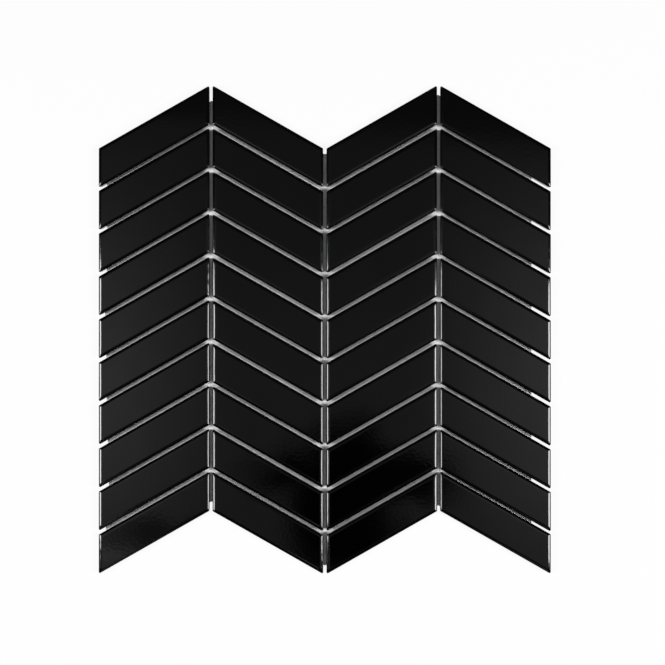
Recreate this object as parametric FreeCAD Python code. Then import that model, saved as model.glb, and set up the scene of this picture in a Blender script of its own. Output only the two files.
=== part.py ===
import FreeCAD, Part
import math
import os

# Mounted chevron mosaic sheet: glazed porcelain parallelograms laid point to point on one cut backing.
# The frame has +Z out of the glazed face and +Y the way the chevrons point.
# The origin is on the underside of the backing, at the middle of the sheet. Sizes are in millimetres.

# One tile in plan: two upright ends joined by two slanted edges.
tile_width = 71.3
tile_end = 25.25
slant_degrees = 29.7
corner_radius = 0.8
chord_turn = 30            # turn of one chord of a rounded corner: forty tiles get few faces each

# One tile in section: the side leans in a little towards the back.
tile_thickness = 6.0
side_lean = 0.25

# Cushioned edge of the glazed face: a quarter ellipse from the side up to the flat face.
cushion_width = 2.2
cushion_depth = 1.0
cushion_steps = 5

# Shallow keying grooves in the back of a tile, along the slant.
groove_width = 3.6
groove_depth = 0.4
groove_land = 2.4
groove_rim = 3.2

# Layout of the sheet.
column_count = 4
row_count = 10
joint_width = 2.15

# Backing: its thickness and how far it stops short of the tiles on every side.
# The top and bottom set-backs are those at the upright joints, from left to right.
backing_thickness = 0.5
backing_inset_left = 4.4
backing_inset_right = 11.8
backing_setback_top = [9.1, 3.1, 5.2]
backing_setback_bottom = [5.8, 4.7, 3.2]

# Sizes that follow.
slant = math.radians(slant_degrees)
slope = math.tan(slant)
column_pitch = tile_width + joint_width
row_pitch = tile_end + joint_width / math.cos(slant)
half_columns = (column_count - 1) / 2
half_rows = (row_count - 1) / 2


def plan_corners(inset):
    """The four sharp corners of a rising tile, drawn in by inset on every side, counter-clockwise."""
    half_width = tile_width / 2 - inset
    half_end = tile_end / 2 - inset / math.cos(slant)
    rise = half_width * slope
    return [
        FreeCAD.Vector(-half_width, -rise - half_end, 0),
        FreeCAD.Vector(half_width, rise - half_end, 0),
        FreeCAD.Vector(half_width, rise + half_end, 0),
        FreeCAD.Vector(-half_width, -rise + half_end, 0),
    ]


def rounded_corner(before, corner, after):
    """Points along the arc that rounds a corner between its two neighbours, tangent to both edges."""
    back = (before - corner).normalize()
    ahead = (after - corner).normalize()
    half_angle = back.getAngle(ahead) / 2
    reach = corner_radius / math.tan(half_angle)
    crown = corner_radius / math.sin(half_angle) - corner_radius
    bisector = (back + ahead).normalize()
    arc = Part.Arc(corner + back * reach, corner + bisector * crown, corner + ahead * reach)
    turn = 180 - math.degrees(2 * half_angle)
    chords = max(1, round(turn / chord_turn))
    return arc.toShape().discretize(Number=chords + 1)


def tile_outline(inset, height):
    """The rounded outline of a rising tile at a height, drawn in by inset on every side."""
    corners = plan_corners(inset)
    points = []
    for index, corner in enumerate(corners):
        points += rounded_corner(corners[index - 1], corner, corners[(index + 1) % len(corners)])
    outline = Part.makePolygon(points + points[:1])
    outline.translate(FreeCAD.Vector(0, 0, height))
    return outline


def tile_block():
    """The side of the tile, from the back up to the line where the cushioned edge begins."""
    back = tile_outline(side_lean, 0)
    shoulder = tile_outline(0, tile_thickness - cushion_depth)
    return Part.makeLoft([back, shoulder], True, True)


def cushioned_face():
    """The glazed cap: outlines stacked along a quarter ellipse, from the shoulder to the flat face."""
    outlines = []
    for step in range(cushion_steps + 1):
        turn = math.pi / 2 * step / cushion_steps
        inset = cushion_width * (1 - math.cos(turn))
        height = tile_thickness - cushion_depth * (1 - math.sin(turn))
        outlines.append(tile_outline(inset, height))
    return Part.makeLoft(outlines, True, True)


def back_grooves():
    """The grooves of one tile's back, as many as fit between its rims, centred."""
    pitch = groove_width + groove_land
    room = tile_end - 2 * groove_rim + groove_land
    count = max(1, int(room / pitch))
    half_width = tile_width / 2 - groove_rim
    rise = half_width * slope
    grooves = []
    for index in range(count):
        middle = (index - (count - 1) / 2) * pitch
        low = middle - groove_width / 2
        high = middle + groove_width / 2
        corners = [
            FreeCAD.Vector(-half_width, low - rise, 0),
            FreeCAD.Vector(half_width, low + rise, 0),
            FreeCAD.Vector(half_width, high + rise, 0),
            FreeCAD.Vector(-half_width, high - rise, 0),
        ]
        outline = Part.makePolygon(corners + corners[:1])
        grooves.append(Part.Face(outline).extrude(FreeCAD.Vector(0, 0, groove_depth)))
    return grooves


def rising_tile():
    """One tile whose long edges rise to the right, its back at height 0."""
    tile = tile_block().fuse(cushioned_face()).removeSplitter()
    return tile.cut(back_grooves())


def falling_tile(rising):
    """The mirror image of a rising tile."""
    return rising.mirror(FreeCAD.Vector(0, 0, 0), FreeCAD.Vector(1, 0, 0))


def tile_place(column, row):
    """The middle of a tile on top of the backing; column 0 is at the left and row 0 at the top."""
    x = (column - half_columns) * column_pitch
    y = (half_rows - row) * row_pitch
    return FreeCAD.Vector(x, y, backing_thickness)


def joint_heights(joint):
    """The x of an upright joint and the y of the tile corners at its top and bottom end."""
    x = (joint + 0.5 - half_columns) * column_pitch
    rises_to_joint = joint % 2 == 0
    lift = tile_width / 2 * slope if rises_to_joint else -tile_width / 2 * slope
    reach = half_rows * row_pitch + tile_end / 2
    return x, lift + reach, lift - reach


def backing_edge(setbacks, top):
    """One zigzag edge of the backing, from left to right, parallel to the tiles beyond the last joints."""
    points = []
    for joint in range(column_count - 1):
        x, y_top, y_bottom = joint_heights(joint)
        setback = setbacks[joint % len(setbacks)]
        y = y_top - setback if top else y_bottom + setback
        points.append(FreeCAD.Vector(x, y, 0))
    left = -half_columns * column_pitch - tile_width / 2 + backing_inset_left
    right = half_columns * column_pitch + tile_width / 2 - backing_inset_right
    first = points[0]
    last = points[-1]
    last_slope = -slope if column_count % 2 == 0 else slope
    points.insert(0, FreeCAD.Vector(left, first.y - (first.x - left) * slope, 0))
    points.append(FreeCAD.Vector(right, last.y + (right - last.x) * last_slope, 0))
    return points


def backing_sheet():
    """The backing: one thin sheet between its top and bottom zigzag edges."""
    top = backing_edge(backing_setback_top, True)
    bottom = backing_edge(backing_setback_bottom, False)
    corners = bottom + top[::-1]
    outline = Part.makePolygon(corners + corners[:1])
    return Part.Face(outline).extrude(FreeCAD.Vector(0, 0, backing_thickness))


def save(name, shape):
    """Write one sub-part to its own file and report its volume."""
    shape.exportStep("parts/" + name + ".step")
    print(name, "valid" if shape.isValid() else "NOT VALID", round(shape.Volume, 1), "mm3")


def main():
    """Build every piece of the sheet."""
    os.makedirs("parts", exist_ok=True)
    rising = rising_tile()
    falling = falling_tile(rising)
    for column in range(column_count):
        pattern = rising if column % 2 == 0 else falling
        for row in range(row_count):
            tile = pattern.copy()
            tile.translate(tile_place(column, row))
            save("tile_col%d_row%02d" % (column + 1, row + 1), tile)
    save("backing_sheet", backing_sheet())


main()
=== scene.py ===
"""Looks of a mounted chevron mosaic sheet: its glazed tiles, its cut backing and a plain studio."""

import logging
import math
from dataclasses import dataclass, field
from enum import Enum

import bmesh
import bpy
import numpy as np
from bpy.types import Material, NodeSocket, NodeTree, Object
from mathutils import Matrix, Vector


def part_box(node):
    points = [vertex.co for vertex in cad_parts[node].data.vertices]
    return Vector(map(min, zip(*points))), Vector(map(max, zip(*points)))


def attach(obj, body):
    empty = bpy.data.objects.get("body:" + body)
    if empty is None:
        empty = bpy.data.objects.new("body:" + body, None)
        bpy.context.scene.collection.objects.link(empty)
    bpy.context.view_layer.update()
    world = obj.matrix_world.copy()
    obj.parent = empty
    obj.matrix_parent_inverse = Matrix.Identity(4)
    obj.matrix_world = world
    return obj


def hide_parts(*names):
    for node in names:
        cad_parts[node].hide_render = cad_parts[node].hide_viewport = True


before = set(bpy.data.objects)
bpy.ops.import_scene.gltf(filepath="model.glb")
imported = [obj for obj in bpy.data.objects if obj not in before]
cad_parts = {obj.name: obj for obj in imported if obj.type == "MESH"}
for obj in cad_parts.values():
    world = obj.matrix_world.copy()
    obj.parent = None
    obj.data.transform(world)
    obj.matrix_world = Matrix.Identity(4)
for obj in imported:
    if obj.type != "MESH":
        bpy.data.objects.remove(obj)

LOG = logging.getLogger("chevron_sheet")
MM = 0.001
BODY = "root"
WHITE = "ffffff"
MERGE_GAP = 0.0005 * MM
SLIVER = 0.0001 * MM


def linear(code: str) -> tuple:
    """Turn an sRGB hex colour into linear RGB with full alpha.

    Args:
        code: six hex digits, red, green and blue.

    Returns:
        Four floats from 0 to 1.
    """
    levels = np.array([int(code[i:i + 2], 16) for i in (0, 2, 4)]) / 255
    toe = levels / 12.92
    curve = ((levels + 0.055) / 1.055) ** 2.4
    return (*np.where(levels <= 0.04045, toe, curve).tolist(), 1.0)


def add_node(tree: NodeTree, kind: str, inputs: dict | None = None, output: str | int = 0,
             **settings: str) -> NodeSocket | None:
    """Add one node with its settings, its constant inputs and its links.

    Args:
        tree: the node tree that gets the node.
        kind: the node's type name, less the ShaderNode in front.
        inputs: input name or number to a constant, or to the output socket that feeds it.
        output: name or number of the wanted output.
        settings: attributes of the node itself.

    Returns:
        The wanted output, or None for a node that has none.
    """
    node = tree.nodes.new(f"ShaderNode{kind}")
    for name, value in settings.items():
        setattr(node, name, value)
    for key, value in (inputs or {}).items():
        if isinstance(value, NodeSocket):
            tree.links.new(value, node.inputs[key])
        else:
            node.inputs[key].default_value = value
    return node.outputs[output] if node.outputs else None


def new_material(name: str) -> Material:
    """Make an empty node material.

    Args:
        name: the material's name.

    Returns:
        The material, without a node.
    """
    material = bpy.data.materials.new(name)
    material.use_nodes = True
    material.node_tree.nodes.clear()
    return material


def smooth_step(values: np.ndarray) -> np.ndarray:
    """Ease from 0 to 1: three times the square less twice the cube, held flat outside."""
    held = np.clip(values, 0.0, 1.0)
    return held * held * (3 - 2 * held)


class Hand(Enum):
    """Which way a tile's long edges run."""

    RISING = 1
    FALLING = -1


@dataclass(frozen=True)
class BlackGlaze:
    """Glossy black glaze fired over a pale pressed porcelain body.

    The glaze is as good as black and shows only what it mirrors, through a faint orange peel that breaks up
    the edges in the reflection. On the cushioned rim, where it thins, it is finer and rougher. It ends just
    below the rim at a wavy line, and the bare body below is matt and pale, its grain drawn coarse enough to
    show.
    """

    glaze: str = "010101"
    body: str = "979695"
    body_grain: str = "adacab"
    index: float = 1.5
    face_roughness: float = 0.05
    rim_roughness: float = 0.10
    body_roughness: float = 0.8
    line_height: float = 2.9 * MM
    line_wander: float = 0.9 * MM
    line_softness: float = 0.12 * MM
    wander_period: float = 6 * MM
    rim_low: float = 6.25 * MM
    rim_high: float = 6.44 * MM
    peel_period: float = 2.2 * MM
    peel_depth: float = 0.008 * MM
    rim_peel_period: float = 0.9 * MM
    rim_peel_depth: float = 0.0045 * MM
    grain_period: float = 0.35 * MM

    def material(self) -> Material:
        """Build the node material.

        Returns:
            The material.
        """
        material = new_material("black_glazed_porcelain")
        tree = material.node_tree
        place = add_node(tree, "TexCoord", output="Object")
        height = add_node(tree, "SeparateXYZ", {0: place}, output="Z")
        wander = add_node(tree, "TexNoise", {
            "Vector": place, "Scale": 1 / self.wander_period, "Detail": 3.0})
        line = add_node(tree, "Math", {0: wander, 1: self.line_wander, 2: height}, operation="MULTIPLY_ADD")
        middle = self.line_height + self.line_wander / 2
        glazed = add_node(tree, "MapRange", {
            "Value": line, "From Min": middle - self.line_softness, "From Max": middle + self.line_softness})
        grain = add_node(tree, "TexNoise", {
            "Vector": place, "Scale": 1 / self.grain_period, "Detail": 4.0})
        bare = add_node(tree, "Mix", {
            0: grain, 6: linear(self.body), 7: linear(self.body_grain)}, output=2, data_type="RGBA")
        colour = add_node(tree, "Mix", {
            0: glazed, 6: bare, 7: linear(self.glaze)}, output=2, data_type="RGBA")
        peel = add_node(tree, "TexNoise", {"Vector": place, "Scale": 1 / self.peel_period, "Detail": 1.0})
        rim_peel = add_node(tree, "TexNoise", {
            "Vector": place, "Scale": 1 / self.rim_peel_period, "Detail": 1.0})
        on_rim = add_node(tree, "MapRange", {
            "Value": height, "From Min": self.rim_low, "From Max": self.rim_high,
            "To Min": 1.0, "To Max": 0.0})
        on_face = add_node(tree, "Math", {0: 1.0, 1: on_rim}, operation="SUBTRACT")
        gloss = add_node(tree, "MapRange", {
            "Value": on_rim, "To Min": self.face_roughness, "To Max": self.rim_roughness})
        roughness = add_node(tree, "Mix", {0: glazed, 2: self.body_roughness, 3: gloss}, data_type="FLOAT")
        surface = add_node(tree, "Bump", {
            "Strength": on_face, "Distance": self.peel_depth, "Height": peel})
        surface = add_node(tree, "Bump", {
            "Strength": on_rim, "Distance": self.rim_peel_depth, "Height": rim_peel, "Normal": surface})
        shader = add_node(tree, "BsdfPrincipled", {
            "Base Color": colour, "Roughness": roughness, "IOR": self.index, "Normal": surface})
        add_node(tree, "OutputMaterial", {"Surface": shader})
        return material


@dataclass(frozen=True)
class FleeceFinish:
    """Pale nonwoven fleece: matt, mottled where the glue soaked in, with a fine felted grain.

    Single fibres are too fine to show, so the grain is drawn as tufts of 0.3 mm.
    """

    dry: str = "ececeb"
    glued: str = "d8d8d7"
    index: float = 1.47
    roughness: float = 0.9
    fibre_period: float = 0.3 * MM
    fibre_swirl: float = 1.5
    fibre_depth: float = 0.06 * MM
    fibre_relief: float = 0.6
    mottle_period: float = 7 * MM
    shade_span: tuple = (0.12, 0.38)

    def material(self) -> Material:
        """Build the node material.

        Returns:
            The material.
        """
        material = new_material("nonwoven_fleece")
        tree = material.node_tree
        place = add_node(tree, "TexCoord", output="Object")
        mottle = add_node(tree, "TexNoise", {
            "Vector": place, "Scale": 1 / self.mottle_period, "Detail": 3.0})
        fibre = add_node(tree, "TexNoise", {
            "Vector": place, "Scale": 1 / self.fibre_period, "Detail": 5.0, "Distortion": self.fibre_swirl})
        shade = add_node(tree, "Math", {0: mottle, 1: fibre}, operation="MULTIPLY")
        factor = add_node(tree, "MapRange", {
            "Value": shade, "From Min": self.shade_span[0], "From Max": self.shade_span[1]})
        colour = add_node(tree, "Mix", {
            0: factor, 6: linear(self.glued), 7: linear(self.dry)}, output=2, data_type="RGBA")
        surface = add_node(tree, "Bump", {
            "Strength": self.fibre_relief, "Distance": self.fibre_depth, "Height": fibre})
        shader = add_node(tree, "BsdfPrincipled", {
            "Base Color": colour, "Roughness": self.roughness, "IOR": self.index, "Normal": surface})
        add_node(tree, "OutputMaterial", {"Surface": shader})
        return material


@dataclass(frozen=True)
class YarnFinish:
    """Glass yarn in a dried binder: off-white, with a dull shine.

    Its filaments are too fine to show and are drawn as bundles of 0.2 mm.
    """

    yarn: str = "e4e4e3"
    shade: str = "c8c8c7"
    index: float = 1.55
    roughness: float = 0.55
    filament_period: float = 0.2 * MM
    filament_depth: float = 0.03 * MM
    filament_relief: float = 0.5

    def material(self) -> Material:
        """Build the node material.

        Returns:
            The material.
        """
        material = new_material("glass_yarn")
        tree = material.node_tree
        place = add_node(tree, "TexCoord", output="Object")
        filament = add_node(tree, "TexNoise", {
            "Vector": place, "Scale": 1 / self.filament_period, "Detail": 2.0})
        colour = add_node(tree, "Mix", {
            0: filament, 6: linear(self.shade), 7: linear(self.yarn)}, output=2, data_type="RGBA")
        surface = add_node(tree, "Bump", {
            "Strength": self.filament_relief, "Distance": self.filament_depth, "Height": filament})
        shader = add_node(tree, "BsdfPrincipled", {
            "Base Color": colour, "Roughness": self.roughness, "IOR": self.index, "Normal": surface})
        add_node(tree, "OutputMaterial", {"Surface": shader})
        return material


def make_piece(name: str, vertices: np.ndarray, faces: list, material: Material) -> Object:
    """Put arrays into a smooth-shaded mesh object at the origin, with doubled points merged.

    Args:
        name: the piece's name.
        vertices: points in metres, one row each.
        faces: tuples of point numbers, turning left as seen from outside.
        material: the piece's finish.

    Returns:
        The new object, linked into the scene.
    """
    mesh = bpy.data.meshes.new(name)
    mesh.from_pydata(vertices.tolist(), [], faces)
    work = bmesh.new()
    work.from_mesh(mesh)
    bmesh.ops.remove_doubles(work, verts=work.verts, dist=MERGE_GAP)
    bmesh.ops.dissolve_degenerate(work, edges=work.edges, dist=SLIVER)
    work.to_mesh(mesh)
    work.free()
    mesh.polygons.foreach_set("use_smooth", [True] * len(mesh.polygons))
    mesh.materials.append(material)
    piece = bpy.data.objects.new(name, mesh)
    bpy.context.scene.collection.objects.link(piece)
    return piece


def grid_faces(columns: int, rows: int, start: int = 0, wrap: bool = False) -> list:
    """Number the four-sided faces of a grid of points stored row after row.

    Args:
        columns: points in a row.
        rows: rows of points.
        start: number of the first point.
        wrap: whether each row closes on itself.

    Returns:
        Tuples of four point numbers, turning left where columns run right and rows run up.
    """
    across = np.arange(columns if wrap else columns - 1)
    ahead = (across + 1) % columns
    first = start + np.arange(rows - 1)[:, None] * columns
    beyond = first + columns
    corners = np.stack([first + across, first + ahead, beyond + ahead, beyond + across], axis=-1)
    return [tuple(face) for face in corners.reshape(-1, 4).tolist()]


@dataclass
class TileForm:
    """Shape of one pressed tile whose long edges rise to the right, in millimetres, middle at the origin.

    The rings of points round the tile are given by tilt on the cushioned edge, by inset from its start on
    the flat face, and by share of the height on the side.
    """

    width: float = 71.3
    end: float = 25.25
    slant: float = math.radians(29.7)
    thickness: float = 6.0
    corner_radius: float = 0.8
    side_lean: float = 0.25
    cushion_width: float = 2.2
    cushion_depth: float = 1.0
    back_round: float = 0.15
    groove_width: float = 3.6
    groove_depth: float = 0.4
    groove_land: float = 2.4
    groove_rim: float = 3.2
    groove_wall: float = 0.24
    rim_tilts: tuple = (0, 2, 4, 7, 10, 14, 18, 22, 26, 30, 35, 41, 48, 57, 68, 79)
    face_rings: tuple = (1.2, 0.5)
    side_rings: tuple = (0.8, 0.55, 0.3)
    back_bend: float = 0.3
    back_inset: float = 2.0
    sharpen_from: float = 1.2
    sharpen_over: float = 1.2
    cell: float = 1.5
    closest: float = 0.3
    acute_steps: int = 8
    obtuse_steps: int = 5

    def sharp_corners(self, inset: np.ndarray) -> np.ndarray:
        """Corners of the plan drawn in by an inset on every side.

        The ends move in by the inset and the slanted edges by the inset over the cosine of the slant.

        Args:
            inset: one inset per ring.

        Returns:
            Array of rings by four corners by x and y, starting at the low left and turning left.
        """
        half_width = self.width / 2 - inset
        half_end = self.end / 2 - inset / math.cos(self.slant)
        rise = half_width * math.tan(self.slant)
        x = np.stack([-half_width, half_width, half_width, -half_width], axis=-1)
        y = np.stack([-rise - half_end, rise - half_end, rise + half_end, -rise + half_end], axis=-1)
        return np.stack([x, y], axis=-1)

    def section(self) -> tuple:
        """The side of the tile, from the flat face outwards, over the cushioned edge and down to the back.

        The cushioned edge is a quarter ellipse. The side then leans in to the back edge, rounded by two
        chords that meet at the bend's share of the rounding.
        The corners of the plan get sharp on the way to the middle of the face and of the back.

        Returns:
            Three arrays: inset, height and plan corner radius of every ring.
        """
        width, depth = self.cushion_width, self.cushion_depth
        turn = np.append(np.arctan(np.tan(np.radians(self.rim_tilts)) * width / depth), math.pi / 2)
        inset = np.concatenate([width + np.array(self.face_rings), width * (1 - np.sin(turn))])
        drop = np.concatenate([np.zeros(len(self.face_rings)), depth * (1 - np.cos(turn))])
        shoulder = self.thickness - depth
        side = np.array(self.side_rings) * shoulder
        back = self.back_round
        bend = self.back_bend * back
        lean = self.side_lean * (1 - np.append(side, back) / shoulder)
        inset = np.concatenate([
            inset, lean, [self.side_lean + bend, self.side_lean + back, self.back_inset]])
        height = np.concatenate([self.thickness - drop, side, [back, bend, 0.0, 0.0]])
        radius = self.corner_radius * (1 - smooth_step((inset - self.sharpen_from) / self.sharpen_over))
        radius[[0, -1]] = 0.0
        return inset, height, radius

    def groove_centres(self) -> np.ndarray:
        """Middles of the back grooves across the tile, as many as fit between its rims.

        Returns:
            Their places from the middle of the tile.
        """
        pitch = self.groove_width + self.groove_land
        count = max(1, int((self.end - 2 * self.groove_rim + self.groove_land) / pitch))
        return (np.arange(count) - (count - 1) / 2) * pitch

    def stations(self, length: float, edges: np.ndarray) -> np.ndarray:
        """Fractions along one side of the plan: even cells, and a close pair at each groove edge.

        Args:
            length: the side's length.
            edges: places of the groove edges along it, from its middle.

        Returns:
            Rising fractions from 0 to 1.
        """
        even = np.linspace(0, 1, max(4, round(length / self.cell)) + 1)
        half = self.groove_wall / 2
        pairs = np.concatenate([edges - half, edges + half]) / length + 0.5
        apart = np.abs(even[:, None] - pairs[None, :]).min(axis=1) > self.closest * self.cell / length
        apart[[0, -1]] = True
        return np.sort(np.concatenate([even[apart], pairs]))

    def plan_rings(self, along: np.ndarray, across: np.ndarray) -> np.ndarray:
        """Points of every ring of the section, each once round the plan.

        Each corner is an arc about the sharp corner of the plan drawn in by inset plus radius, and each side
        is a straight run from one arc to the next.

        Args:
            along: fractions of the points on a slanted side.
            across: fractions of the points on an upright end.

        Returns:
            Array of rings by points by x, y and height.
        """
        inset, height, radius = self.section()
        centres = self.sharp_corners(inset + radius)
        acute_turn = math.pi / 2 + self.slant
        starts = [math.pi, acute_turn - math.pi, 0.0, acute_turn]
        turns = [acute_turn, math.pi - acute_turn] * 2
        steps = [self.acute_steps, self.obtuse_steps] * 2
        fractions = [along, across, 1 - along[::-1], 1 - across[::-1]]
        parts = []
        for corner in range(4):
            angles = starts[corner] + turns[corner] * np.linspace(0, 1, steps[corner] + 1)
            arc = np.stack([np.cos(angles), np.sin(angles)], axis=-1)
            parts.append(centres[:, corner, None] + radius[:, None, None] * arc)
            following = (corner + 1) % 4
            tangent = np.array([math.cos(starts[following]), math.sin(starts[following])])
            leave = parts[-1][:, -1]
            arrive = centres[:, following] + radius[:, None] * tangent
            share = fractions[corner][1:-1, None]
            parts.append(leave[:, None] + (arrive - leave)[:, None] * share)
        rings = np.concatenate(parts, axis=1)
        level = np.broadcast_to(height[:, None, None], (*rings.shape[:2], 1))
        return np.concatenate([rings, level], axis=-1)

    def groove_sink(self, plan: np.ndarray) -> np.ndarray:
        """Height of the back: the groove depth inside a groove and nothing outside.

        Args:
            plan: points of the back, x and y.

        Returns:
            One height for each point.
        """
        x = plan[..., 0]
        across = plan[..., 1] - x * math.tan(self.slant)
        inside = np.abs(across[..., None] - self.groove_centres()).min(axis=-1) < self.groove_width / 2
        return self.groove_depth * (inside & (np.abs(x) < self.width / 2 - self.groove_rim))

    def build(self) -> tuple:
        """Points and faces of the whole closed tile.

        Rings of points follow the plan from the flat face out and round to the back. A slanted grid closes
        the face inside the first ring, and another the back inside the last one, sunk at the grooves.

        Returns:
            Points in millimetres and faces.
        """
        face_plan, back_plan = self.sharp_corners(self.section()[0][[0, -1]])
        along_edges = np.array([-1, 1]) * (self.width / 2 - self.groove_rim)
        half_groove = self.groove_width / 2
        across_edges = np.sort(np.concatenate([
            self.groove_centres() - half_groove, self.groove_centres() + half_groove]))
        along = self.stations(back_plan[1, 0] - back_plan[0, 0], along_edges)
        across = self.stations(back_plan[3, 1] - back_plan[0, 1], across_edges)
        rings = self.plan_rings(along, across)
        ring_count, ring_size = rings.shape[:2]
        points = [rings.reshape(-1, 3)]
        faces = [face[::-1] for face in grid_faces(ring_size, ring_count, wrap=True)]
        for corners, glazed in ((face_plan, True), (back_plan, False)):
            origin = corners[0]
            plan = origin + across[:, None, None] * (corners[3] - origin) \
                + along[None, :, None] * (corners[1] - origin)
            level = np.full(plan.shape[:2], self.thickness) if glazed else self.groove_sink(plan)
            start = sum(len(block) for block in points)
            points.append(np.concatenate([plan, level[..., None]], axis=-1).reshape(-1, 3))
            block = grid_faces(len(along), len(across), start)
            faces += block if glazed else [face[::-1] for face in block]
        return np.concatenate(points), faces


class Draw(Enum):
    """What a tile draws random numbers for; the value keeps the seeds apart."""

    WARP = 1000
    LAYING = 5000
    RIM = 9000


@dataclass
class ChevronTile:
    """One glazed tile of the sheet, in place of its plain solid. Sizes are in millimetres.

    Fired and laid by hand, no two are quite alike: the face is a little warped, the rim swells, the tile is
    turned and shifted, and some columns came out larger and drifted along the joint.
    """

    column: int
    row: int
    columns: int
    rows: int
    form: TileForm
    shape: tuple
    seed_step: int = 50
    warp_depth: float = 0.012
    warp_periods: tuple = (46.0, 27.0, 17.0)
    warp_falloff: float = 1.5
    warp_reach: float = 0.6
    face_room: float = 0.03
    tilt_limit: float = 0.0006
    rim_swell: float = 0.14
    rim_waves: tuple = ((19.0, 0.6), (7.0, 0.4))
    place_scatter: float = 0.1
    outline_scatter: float = 0.03
    drift: float = 0.0
    drift_ease: float = 1.5
    last_lift: float = 0.0
    growth: float = 0.0
    turn_limit: float = math.radians(0.07)

    @property
    def node(self) -> str:
        """Name of the solid that the tile stands for."""
        return f"tile_col{self.column + 1}_row{self.row + 1:02d}"

    @property
    def hand(self) -> Hand:
        """Odd columns rise to the right and even ones fall."""
        return Hand.RISING if self.column % 2 == 0 else Hand.FALLING

    def draws(self, use: Draw) -> np.random.Generator:
        """The tile's own seeded random numbers for one use."""
        return np.random.default_rng(use.value + self.seed_step * self.column + self.row)

    def face_warp(self, x: np.ndarray, y: np.ndarray) -> np.ndarray:
        """How far the fired face lies below true level, in millimetres.

        Three long waves of random heading and phase are added to a slight tilt of the whole face. The sum
        stays below the room that is left under the tile's full thickness.

        Args:
            x: places along the tile from its middle.
            y: places across the tile from its middle.

        Returns:
            Depths, all of them positive.
        """
        draw = self.draws(Draw.WARP)
        depth = np.full(x.shape, self.face_room)
        for period in self.warp_periods:
            heading = draw.uniform(0, math.pi)
            phase = draw.uniform(0, 2 * math.pi)
            wave = 2 * math.pi / period * (x * math.cos(heading) + y * math.sin(heading))
            share = (period / self.warp_periods[0]) ** self.warp_falloff
            depth += self.warp_depth * share / 2 * np.sin(wave + phase)
        tilt_x, tilt_y = draw.uniform(-self.tilt_limit, self.tilt_limit, 2)
        return np.maximum(depth + tilt_x * x + tilt_y * y, 0.0)

    def rim_change(self, points: np.ndarray) -> np.ndarray:
        """How much thicker or thinner the glaze lies on the cushioned edge, in millimetres.

        Two waves along the rim, of random phase, are weighted by the drop times what is left of it, so
        that the face and the shoulder keep their place.

        Args:
            points: the tile's points before they are moved.

        Returns:
            Heights to add.
        """
        draw = self.draws(Draw.RIM)
        depth = self.form.cushion_depth
        drop = np.clip(self.form.thickness - points[:, 2], 0.0, depth)
        wave = np.zeros(len(points))
        for period, share in self.rim_waves:
            phase = draw.uniform(0, 2 * math.pi, 2)
            wave += share * np.sin(2 * math.pi * points[:, 0] / period + phase[0]) \
                * np.cos(2 * math.pi * points[:, 1] / period + phase[1])
        return self.rim_swell * wave * drop * (1 - drop / depth)

    def placing(self) -> tuple:
        """Small turn and shift with which the tile was laid; those at the outline only move inwards.

        The drift of its column eases away at the first and the last row, and the last row has its own lift.

        Returns:
            The turn in radians, and the shift along x and y in millimetres.
        """
        draw = self.draws(Draw.LAYING)
        turn = float(draw.uniform(-self.turn_limit, self.turn_limit))
        shift = draw.uniform(-self.place_scatter, self.place_scatter, 2)
        rows_off = min(self.row, self.rows - 1 - self.row)
        shift[1] += self.drift * smooth_step(rows_off / self.drift_ease)
        if self.row == self.rows - 1:
            shift[1] += self.last_lift
        swing = abs(turn) * self.form.width / 2
        sides = (
            (self.column == 0, self.column == self.columns - 1),
            (self.row == self.rows - 1, self.row == 0))
        for axis, (at_low, at_high) in enumerate(sides):
            if at_low or at_high:
                inwards = 1 if at_low else -1
                room = swing + axis * self.growth / 2
                shift[axis] = inwards * max(inwards * shift[axis], self.outline_scatter / 2 + room)
        return turn, shift

    def build(self, finish: Material) -> Object:
        """Make the tile's mesh at its solid's place.

        The rim's swell and the face's warp move points up and down, the warp fading out below the face. The
        growth stretches the tile between its slanted edges. A falling tile is the mirror image of a rising
        one. Then the tile is turned and shifted as it was laid.

        Args:
            finish: the glaze and body material.

        Returns:
            The tile's object.
        """
        points, faces = self.shape
        points = points.copy()
        points[:, 2] += self.rim_change(points)
        fade = smooth_step(1 - (self.form.thickness - points[:, 2]) / self.warp_reach)
        points[:, 2] -= fade * self.face_warp(points[:, 0], points[:, 1])
        across = points[:, 1] - points[:, 0] * math.tan(self.form.slant)
        points[:, 1] += self.growth / self.form.end * across
        if self.hand is Hand.FALLING:
            points[:, 0] *= -1
            faces = [face[::-1] for face in faces]
        turn, shift = self.placing()
        x, y = points[:, 0].copy(), points[:, 1].copy()
        points[:, 0] = x - turn * y + shift[0]
        points[:, 1] = y + turn * x + shift[1]
        low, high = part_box(self.node)
        middle = np.array([(low.x + high.x) / 2, (low.y + high.y) / 2, low.z])
        return make_piece(f"glazed_{self.node}", points * MM + middle, faces, finish)

    def dress(self, piece: Object) -> None:
        """Hang the tile on the body that it rides on and hide the solid that it stands for.

        Args:
            piece: the tile's object.
        """
        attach(piece, BODY)
        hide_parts(self.node)


@dataclass
class TileField:
    """All the tiles of the sheet, column by column from the left and row by row from the top."""

    columns: int = 4
    rows: int = 10
    column_drift: tuple = (0.44, 0.0, 0.0, -0.33)
    column_last_lift: tuple = (0.30, 0.0, 0.0, 0.45)
    column_growth: tuple = (0.16, 0.0, 0.0, 0.42)
    finish: BlackGlaze = field(default_factory=BlackGlaze)
    form: TileForm = field(default_factory=TileForm)

    def build(self) -> list:
        """Build and dress every tile.

        Returns:
            The tile objects.
        """
        material = self.finish.material()
        shape = self.form.build()
        pieces = []
        for column in range(self.columns):
            for row in range(self.rows):
                tile = ChevronTile(
                    column, row, self.columns, self.rows, self.form, shape,
                    drift=self.column_drift[column], last_lift=self.column_last_lift[column],
                    growth=self.column_growth[column])
                piece = tile.build(material)
                tile.dress(piece)
                pieces.append(piece)
            faces = len(pieces[-1].data.polygons)
            LOG.info("column %d: %d tiles of %d faces", column + 1, self.rows, faces)
        return pieces


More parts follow.
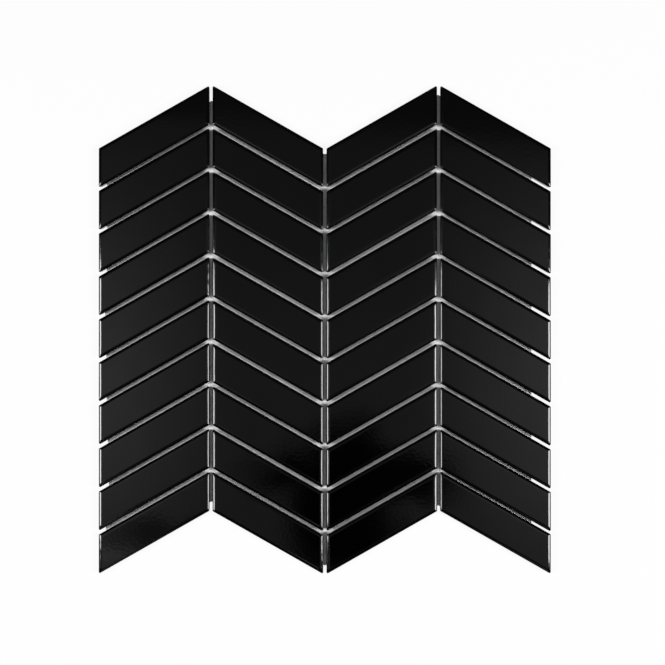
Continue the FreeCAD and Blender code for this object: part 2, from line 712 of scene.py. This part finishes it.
@dataclass
class BackingSheet:
    """The backing: a thin fleece on a square scrim of yarns, cut in a zigzag just inside the tiles.

    Sizes are in millimetres. The strays are those of the left cut, one a joint, from the top.
    """

    form: TileForm
    columns: int = 4
    rows: int = 10
    joint: float = 2.15
    thickness: float = 0.5
    left_inset: float = 4.4
    right_inset: float = 11.8
    top_setback: tuple = (9.1, 3.1, 5.2)
    bottom_setback: tuple = (5.8, 4.7, 3.2)
    fleece_low: float = 0.12
    fleece_high: float = 0.36
    ripple_depth: float = 0.03
    ripple_runs: tuple = ((9.0, 13.0), (-17.0, 7.0))
    cell: float = 3.0
    stray_reach: float = 12.0
    yarn_margin: float = 1.5
    yarn_pitch: float = 5.5
    yarn_width: float = 0.9
    yarn_height: float = 0.3
    yarn_points: int = 6
    yarn_trace: int = 1200
    yarn_wander: float = 0.25
    yarn_wander_run: float = 23.0
    weave_height: float = 0.08
    left_stray: tuple = (0.1, 0.1, -0.2, -1.3, -0.2, -0.1, 0.7, 1.9, -1.0)

    @property
    def slope(self) -> float:
        """Slope of the slanted edges."""
        return math.tan(self.form.slant)

    def joint_places(self) -> np.ndarray:
        """The x of every upright joint."""
        pitch = self.form.width + self.joint
        return (np.arange(self.columns - 1) + 0.5 - (self.columns - 1) / 2) * pitch

    def side_edges(self) -> tuple:
        """The x of the left and the right cut."""
        reach = self.columns * self.form.width / 2 + (self.columns - 1) * self.joint / 2
        return -reach + self.left_inset, reach - self.right_inset

    def zigzag(self, top: bool) -> tuple:
        """Corner points of the top or bottom cut, parallel to the tiles beyond the last joints.

        Args:
            top: the top cut, or else the bottom one.

        Returns:
            The x and the y of the corners, from left to right.
        """
        x = self.joint_places()
        row_pitch = self.form.end + self.joint / math.cos(self.form.slant)
        reach = (self.rows - 1) / 2 * row_pitch + self.form.end / 2
        lift = self.form.width / 2 * self.slope * np.where(np.arange(len(x)) % 2 == 0, 1, -1)
        if top:
            y = lift + reach - np.array(self.top_setback)
        else:
            y = lift - reach + np.array(self.bottom_setback)
        left, right = self.side_edges()
        first = y[0] - (x[0] - left) * self.slope
        last = y[-1] - (right - x[-1]) * self.slope
        return np.concatenate([[left], x, [right]]), np.concatenate([[first], y, [last]])

    def left_waver(self, y: np.ndarray) -> np.ndarray:
        """How far the left cut, made by hand, strays from straight: a straight run from joint to joint.

        Args:
            y: places along the cut.

        Returns:
            Distances to the right.
        """
        pitch = self.form.end + self.joint / math.cos(self.form.slant)
        low_end = -self.form.width / 2 * self.slope
        joints = low_end + pitch * (np.arange(self.rows - 1) - (self.rows - 2) / 2)
        return np.interp(y, joints, self.left_stray[::-1])

    def fleece(self, finish: Material) -> Object:
        """The closed fleece: a grid between the two zigzags, on two levels joined all round.

        The grid's x comes from left to right with lines on the joints, and its y runs straight from the
        bottom zigzag to the top one. Two gentle waves lift and drop it by a few hundredths.

        Args:
            finish: the fleece material.

        Returns:
            The fleece's object.
        """
        corners_x, top_y = self.zigzag(True)
        bottom_y = self.zigzag(False)[1]
        spans = [np.linspace(a, b, max(2, round((b - a) / self.cell)), endpoint=False)
                 for a, b in zip(corners_x[:-1], corners_x[1:])]
        x = np.concatenate([*spans, corners_x[-1:]])
        share = np.linspace(0, 1, round((top_y.max() - bottom_y.min()) / self.cell))
        low = np.interp(x, corners_x, bottom_y)
        high = np.interp(x, corners_x, top_y)
        y = low + share[:, None] * (high - low)
        x = np.broadcast_to(x, y.shape).copy()
        edge = smooth_step(1 - (x - corners_x[0]) / self.stray_reach)
        x += edge * self.left_waver(y)
        first, second = (x / across + y / ahead for across, ahead in self.ripple_runs)
        ripple = self.ripple_depth * np.sin(first) * np.cos(second)
        lower = np.stack([x, y, self.fleece_low + ripple], axis=-1).reshape(-1, 3)
        upper = np.stack([x, y, self.fleece_high + ripple], axis=-1).reshape(-1, 3)
        rows, columns = y.shape
        count = rows * columns
        faces = grid_faces(columns, rows, count) + [face[::-1] for face in grid_faces(columns, rows)]
        number = np.arange(count).reshape(rows, columns)
        rim = np.concatenate([number[0, :-1], number[:-1, -1], number[-1, :0:-1], number[:0:-1, 0]])
        ahead = np.roll(rim, -1)
        wall = np.stack([rim, ahead, ahead + count, rim + count], axis=-1)
        faces += [tuple(face) for face in wall.tolist()]
        return make_piece("backing_fleece", np.concatenate([lower, upper]) * MM, faces, finish)

    def yarn_spans(self, place: float, upright: bool) -> list:
        """Where a yarn crosses the backing.

        Args:
            place: the yarn's x if it is upright, or else its y.
            upright: whether the yarn runs along y.

        Returns:
            Pairs of start and end along the yarn.
        """
        corners_x, top_y = self.zigzag(True)
        bottom_y = self.zigzag(False)[1]
        if upright:
            return [tuple(float(np.interp(place, corners_x, y)) for y in (bottom_y, top_y))]
        fine = np.linspace(corners_x[0], corners_x[-1], self.yarn_trace)
        low, high = (np.interp(fine, corners_x, y) for y in (bottom_y, top_y))
        inside = (low < place) & (high > place)
        change = np.flatnonzero(np.diff(np.concatenate([[False], inside, [False]]).astype(int)))
        return [(float(fine[a]), float(fine[b - 1])) for a, b in zip(change[::2], change[1::2])]

    def yarns(self, finish: Material) -> Object:
        """The scrim: flat yarns both ways, each a closed flattened tube that weaves over and under.

        A yarn's section is an ellipse. Its middle swings above and below the middle of the sheet as a cosine
        with a full wave every two pitches, turned about from one yarn to the next, and wanders a little to
        the side as a long sine.

        Args:
            finish: the yarn material.

        Returns:
            One object with all the yarns.
        """
        left, right = self.side_edges()
        top = self.zigzag(True)[1].max()
        bottom = self.zigzag(False)[1].min()
        around = self.yarn_points
        angles = np.arange(around) / around * 2 * math.pi
        pitch = self.yarn_pitch
        blocks, faces, start = [], [], 0
        for upright, low, high in ((True, left, right), (False, bottom, top)):
            places = np.arange(low + self.yarn_margin, high - self.yarn_margin, pitch)
            spans = [(number, place, *span) for number, place in enumerate(places)
                     for span in self.yarn_spans(float(place), upright) if span[1] - span[0] >= pitch]
            for number, place, begin, end in spans:
                along = np.linspace(begin, end, max(4, round(2 * (end - begin) / pitch)))[:, None]
                swing = math.pi * (along / pitch + number + (0.5 if upright else 0.0))
                wander = self.yarn_wander * np.sin(along / self.yarn_wander_run)
                side = place + self.yarn_width / 2 * np.cos(angles) + wander
                rise = self.thickness / 2 + self.weave_height * np.cos(swing) \
                    + self.yarn_height / 2 * np.sin(angles)
                run = np.broadcast_to(along, side.shape)
                order = (side, run) if upright else (run, side)
                blocks.append(np.stack([*order, rise], axis=-1).reshape(-1, 3))
                tube = grid_faces(around, len(along), start, wrap=True)
                last = start + around * (len(along) - 1)
                tube += [tuple(range(start + around - 1, start - 1, -1)), tuple(range(last, last + around))]
                faces += [face[::-1] for face in tube] if upright else tube
                start += around * len(along)
        return make_piece("backing_scrim", np.concatenate(blocks) * MM, faces, finish)

    def build(self) -> tuple:
        """Build the fleece and its scrim.

        Returns:
            The two objects.
        """
        pieces = self.fleece(FleeceFinish().material()), self.yarns(YarnFinish().material())
        for piece in pieces:
            LOG.info("%s: %d faces", piece.name, len(piece.data.polygons))
        return pieces

    def dress(self, fleece: Object, scrim: Object, tiles: list) -> None:
        """Hang the fleece and the scrim on the body that they ride on and hide the solid that they stand
        for.

        Args:
            fleece: the fleece's object.
            scrim: the scrim's object.
            tiles: the tile objects that the backing is glued to; not used.
        """
        for piece in (fleece, scrim):
            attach(piece, BODY)
        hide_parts("backing_sheet")


RIGHT = (1.0, 0.0, 0.0)
AHEAD = (0.0, 1.0, 0.0)
STEEP = (0.0, 0.0, 1.0)


class Blend(Enum):
    """How a layer meets what lies under it: the operation, and the level at which it does nothing."""

    LIGHTEN = ("ADD", 0.0)
    DARKEN = ("MULTIPLY", 1.0)


@dataclass(frozen=True)
class Sky:
    """The world's node tree, and where a ray goes: flat, flat with its steepness, and flat made cloudy.

    Flat places are tangents: how far the ray goes to the right and ahead for each unit up. The steepness is
    1 straight up.
    """

    tree: NodeTree
    flat: NodeSocket
    place: NodeSocket
    cloudy: NodeSocket


@dataclass(frozen=True)
class Ramp:
    """One eased change of level along a heading, or alike on both sides of a middle line."""

    heading: tuple
    start: float
    end: float
    low: float
    high: float
    middle: float | None = None

    def level(self, sky: Sky) -> NodeSocket:
        """Add the ramp's nodes.

        Args:
            sky: where the level is read.

        Returns:
            The output with the level.
        """
        along = add_node(sky.tree, "VectorMath", {
            0: sky.place, 1: self.heading}, output="Value", operation="DOT_PRODUCT")
        if self.middle is not None:
            off = add_node(sky.tree, "Math", {0: along, 1: self.middle}, operation="SUBTRACT")
            along = add_node(sky.tree, "Math", {0: off}, operation="ABSOLUTE")
        return add_node(sky.tree, "MapRange", {
            "Value": along, "From Min": self.start, "From Max": self.end,
            "To Min": self.low, "To Max": self.high}, interpolation_type="SMOOTHSTEP")


@dataclass(frozen=True)
class Stretch:
    """A stretch of the room: the product of a few ramps, laid over the rest."""

    blend: Blend
    ramps: tuple

    def over(self, sky: Sky, below: NodeSocket) -> NodeSocket:
        """Lay the stretch over the level below it.

        Args:
            sky: where the level is read.
            below: the level so far.

        Returns:
            The new level.
        """
        share = self.ramps[0].level(sky)
        for ramp in self.ramps[1:]:
            share = add_node(sky.tree, "Math", {0: share, 1: ramp.level(sky)}, operation="MULTIPLY")
        operation = self.blend.value[0]
        return add_node(sky.tree, "Math", {0: below, 1: share}, operation=operation)


@dataclass(frozen=True)
class Patch:
    """An elliptical patch of the room with a soft, cloudy edge, such as the dark shape of the rig."""

    blend: Blend
    middle: tuple
    reach: tuple
    level: float
    inner: float = 0.5
    outer: float = 1.2

    def over(self, sky: Sky, below: NodeSocket) -> NodeSocket:
        """Lay the patch over the level below it.

        Args:
            sky: where the level is read.
            below: the level so far.

        Returns:
            The new level.
        """
        offset = add_node(sky.tree, "VectorMath", {
            0: sky.cloudy, 1: (*self.middle, 0.0)}, operation="SUBTRACT")
        scaled = add_node(sky.tree, "VectorMath", {
            0: offset, 1: (1 / self.reach[0], 1 / self.reach[1], 0.0)}, operation="MULTIPLY")
        distance = add_node(sky.tree, "VectorMath", {0: scaled}, output="Value", operation="LENGTH")
        operation, outside = self.blend.value
        share = add_node(sky.tree, "MapRange", {
            "Value": distance, "From Min": self.inner, "From Max": self.outer,
            "To Min": self.level, "To Max": outside}, interpolation_type="SMOOTHSTEP")
        return add_node(sky.tree, "Math", {0: below, 1: share}, operation=operation)


@dataclass(frozen=True)
class Room:
    """The room as the glaze mirrors it.

    A dim ceiling gets lighter to both sides and darker to the far and the near end, and holds the dark shape
    of the camera and its rig with a few lighter and darker smears about it. Walls all round are dim. Two
    light strips, far to the front and the back, look down into the upright joints.
    """

    ceiling: Ramp = Ramp(AHEAD, -0.05, 0.12, 0.203, 0.144)
    layers: tuple = (
        Stretch(Blend.LIGHTEN, (
            Ramp(RIGHT, 0.055, 0.225, 0.0, 0.545, middle=-0.008),
            Ramp(AHEAD, 0.0, 0.22, 1.0, 0.0, middle=-0.035))),
        Stretch(Blend.DARKEN, (Ramp((0.08, 1.0, 0.0), 0.140, 0.168, 1.0, 0.42),)),
        Stretch(Blend.DARKEN, (Ramp(AHEAD, -0.26, -0.19, 0.3, 1.0),)),
        Patch(Blend.DARKEN, (0.010, -0.130), (0.048, 0.072), 0.0, 0.7),
        Patch(Blend.DARKEN, (0.018, -0.111), (0.080, 0.024), 0.0, 0.7),
        Patch(Blend.LIGHTEN, (0.051, -0.137), (0.018, 0.011), 0.15, 0.2),
        Patch(Blend.DARKEN, (0.074, -0.127), (0.014, 0.012), 0.35, 0.2),
        Patch(Blend.LIGHTEN, (-0.030, -0.122), (0.012, 0.010), 0.08, 0.2),
        Patch(Blend.DARKEN, (-0.054, -0.104), (0.014, 0.010), 0.5, 0.2),
        Patch(Blend.DARKEN, (-0.130, -0.158), (0.055, 0.020), 0.42),
        Patch(Blend.DARKEN, (-0.138, -0.148), (0.018, 0.008), 0.45, 0.2),
        Patch(Blend.LIGHTEN, (-0.172, -0.166), (0.013, 0.012), 0.4, 0.4, 1.4),
        Patch(Blend.LIGHTEN, (-0.158, -0.167), (0.012, 0.007), 0.2, 0.2),
        Patch(Blend.DARKEN, (-0.169, -0.157), (0.012, 0.006), 0.5, 0.2),
        Patch(Blend.LIGHTEN, (-0.090, -0.30), (0.020, 0.030), 3.0),
        Stretch(Blend.LIGHTEN, (
            Ramp(RIGHT, 0.13, 0.17, 0.0, 1.0, middle=0.0), Ramp(AHEAD, -0.215, -0.185, 0.9, 0.0),
            Ramp(AHEAD, -0.28, -0.25, 0.0, 1.0))),
    )
    horizon: float = 0.02
    wall: Ramp = Ramp(STEEP, 0.05, 0.45, 0.2, 0.02)
    overhead: Ramp = Ramp(STEEP, 0.90, 0.96, 0.0, 1.0)
    strips: Stretch = Stretch(Blend.LIGHTEN, (
        Ramp(RIGHT, 0.11, 0.19, 0.85, 0.0, middle=0.0), Ramp(AHEAD, 0.58, 0.75, 0.0, 1.0, middle=0.0),
        Ramp(STEEP, 0.45, 0.6, 0.0, 1.0)))
    cloud_scale: float = 32.0
    cloud_reach: float = 0.045
    mottle_scale: float = 70.0
    mottle_range: tuple = (0.8, 1.2)

    def sky(self, tree: NodeTree) -> Sky:
        """Turn a ray's direction into its place overhead, plain and shifted by soft clouds.

        Args:
            tree: the world's node tree.

        Returns:
            The sky.
        """
        heading = add_node(tree, "TexCoord", output="Generated")
        parts = add_node(tree, "SeparateXYZ", {0: heading}).node.outputs
        up = add_node(tree, "Math", {0: parts["Z"], 1: self.horizon}, operation="MAXIMUM")
        right = add_node(tree, "Math", {0: parts["X"], 1: up}, operation="DIVIDE")
        ahead = add_node(tree, "Math", {0: parts["Y"], 1: up}, operation="DIVIDE")
        flat = add_node(tree, "CombineXYZ", {0: right, 1: ahead})
        place = add_node(tree, "CombineXYZ", {0: right, 1: ahead, 2: parts["Z"]})
        cloud = add_node(tree, "TexNoise", {
            "Vector": flat, "Scale": self.cloud_scale, "Detail": 3.0}, output="Color")
        centred = add_node(tree, "VectorMath", {0: cloud, 1: (0.5, 0.5, 0.5)}, operation="SUBTRACT")
        shift = add_node(tree, "VectorMath", {0: centred, 3: self.cloud_reach}, operation="SCALE")
        cloudy = add_node(tree, "VectorMath", {0: flat, 1: shift}, operation="ADD")
        return Sky(tree, flat, place, cloudy)

    def build(self) -> None:
        """Make the world: walls, a mottled ceiling with layers, and strips; the camera sees white."""
        world = bpy.data.worlds.new("studio_room")
        world.use_nodes = True
        tree = world.node_tree
        tree.nodes.clear()
        sky = self.sky(tree)
        ceiling = self.ceiling.level(sky)
        for layer in self.layers:
            ceiling = layer.over(sky, ceiling)
        mottle = add_node(tree, "TexNoise", {
            "Vector": sky.flat, "Scale": self.mottle_scale, "Detail": 4.0})
        mottle = add_node(tree, "MapRange", {
            "Value": mottle, "To Min": self.mottle_range[0], "To Max": self.mottle_range[1]})
        ceiling = add_node(tree, "Math", {0: ceiling, 1: mottle}, operation="MULTIPLY")
        room = add_node(tree, "Mix", {
            0: self.overhead.level(sky), 2: self.wall.level(sky), 3: ceiling}, data_type="FLOAT")
        room = self.strips.over(sky, room)
        camera_ray = add_node(tree, "LightPath", output="Is Camera Ray")
        level = add_node(tree, "Mix", {0: camera_ray, 2: room, 3: 1.0}, data_type="FLOAT")
        shader = add_node(tree, "Background", {"Color": linear(WHITE), "Strength": level})
        add_node(tree, "OutputWorld", {"Surface": shader})
        bpy.context.scene.world = world


@dataclass(frozen=True)
class PaperSweep:
    """Seamless white paper: white to the camera and in the glaze, but for a soft shadow of the sheet.

    The light that it throws on the sheet's sides is that of plain pale paper.
    """

    glow: float = 0.912
    shadow_share: float = 0.06
    paper: str = "e6e6e4"

    def material(self) -> Material:
        """Build the node material.

        Returns:
            The material.
        """
        material = new_material("white_sweep")
        tree = material.node_tree
        path = add_node(tree, "LightPath").node.outputs
        seen = add_node(tree, "Math", {
            0: path["Is Camera Ray"], 1: path["Is Glossy Ray"]}, operation="MAXIMUM")
        glow = add_node(tree, "Emission", {"Color": linear(WHITE), "Strength": self.glow})
        shaded = add_node(tree, "BsdfDiffuse", {"Color": (*[self.shadow_share] * 3, 1.0)})
        white = add_node(tree, "AddShader", {0: glow, 1: shaded})
        plain = add_node(tree, "BsdfDiffuse", {"Color": linear(self.paper)})
        shown = add_node(tree, "MixShader", {0: seen, 1: plain, 2: white})
        add_node(tree, "OutputMaterial", {"Surface": shown})
        return material


@dataclass
class Studio:
    """White sweep, two soft side lights, a dim room and the camera above the sheet.

    Places and sizes are in metres, but the sensor's width is in millimetres.
    """

    floor_half: float = 4.0
    floor_drop: float = 0.05 * MM
    camera_height: float = 0.85
    pixels: int = 665
    pixels_per_mm: float = 1.552
    sheet_middle_px: tuple = (324.8, 329.8)
    sensor: float = 36.0
    light_reach: tuple = (0.78, 0.91)
    light_ends: tuple = ((-0.322, 0.110), (-0.40, 0.132))
    light_width: float = 0.42
    light_level: tuple = (19.5, 18.5)
    light_aim: tuple = (0.25, -0.16)

    def floor(self) -> None:
        """The sweep: one square just below the backing."""
        corners = [(x * self.floor_half, y * self.floor_half, -self.floor_drop)
                   for x, y in ((-1, -1), (1, -1), (1, 1), (-1, 1))]
        mesh = bpy.data.meshes.new("floor")
        mesh.from_pydata(corners, [], [(0, 1, 2, 3)])
        mesh.materials.append(PaperSweep().material())
        piece = bpy.data.objects.new("floor", mesh)
        bpy.context.scene.collection.objects.link(piece)

    def lights(self) -> None:
        """Two soft boxes, left and right, each aimed across the sheet at the near part of its other side."""
        reach, height = self.light_reach
        boxes = zip(("left", "right"), (-1, 1), self.light_ends, self.light_level)
        for name, side, (near, far), level in boxes:
            lamp = bpy.data.lights.new(f"soft_box_{name}", "AREA")
            lamp.shape = "RECTANGLE"
            lamp.size = self.light_width
            lamp.size_y = far - near
            lamp.energy = level * math.pi * lamp.size * lamp.size_y
            holder = bpy.data.objects.new(lamp.name, lamp)
            holder.location = (side * reach, (near + far) / 2, height)
            aim = Vector((-side * self.light_aim[0], self.light_aim[1], 0.0)) - holder.location
            holder.rotation_euler = aim.to_track_quat("-Z", "Y").to_euler()
            bpy.context.scene.collection.objects.link(holder)

    def camera(self) -> None:
        """The camera, straight above, framed by the sheet's middle and scale in the photograph."""
        width = self.pixels / self.pixels_per_mm
        half = self.pixels / 2
        right = (half - self.sheet_middle_px[0]) / self.pixels_per_mm
        down = (half - self.sheet_middle_px[1]) / self.pixels_per_mm
        data = bpy.data.cameras.new("overhead_camera")
        data.sensor_width = self.sensor
        data.lens = self.sensor * self.camera_height / (width * MM)
        holder = bpy.data.objects.new("overhead_camera", data)
        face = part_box("tile_col1_row01")[1].z
        holder.location = (right * MM, -down * MM, face + self.camera_height)
        bpy.context.scene.collection.objects.link(holder)
        bpy.context.scene.camera = holder

    def build(self) -> None:
        """Build the whole studio."""
        self.camera()
        self.floor()
        Room().build()
        self.lights()
        bpy.context.scene.view_settings.view_transform = "Standard"
        LOG.info("studio: camera %.2f m above the face", self.camera_height)


def main() -> None:
    """Build the studio, the tiles and the backing."""
    logging.basicConfig(level=logging.INFO, format="%(name)s: %(message)s")
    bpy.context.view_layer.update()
    Studio().build()
    tile_field = TileField()
    tiles = tile_field.build()
    backing = BackingSheet(tile_field.form)
    backing.dress(*backing.build(), tiles)


if __name__ == "__main__":
    main()
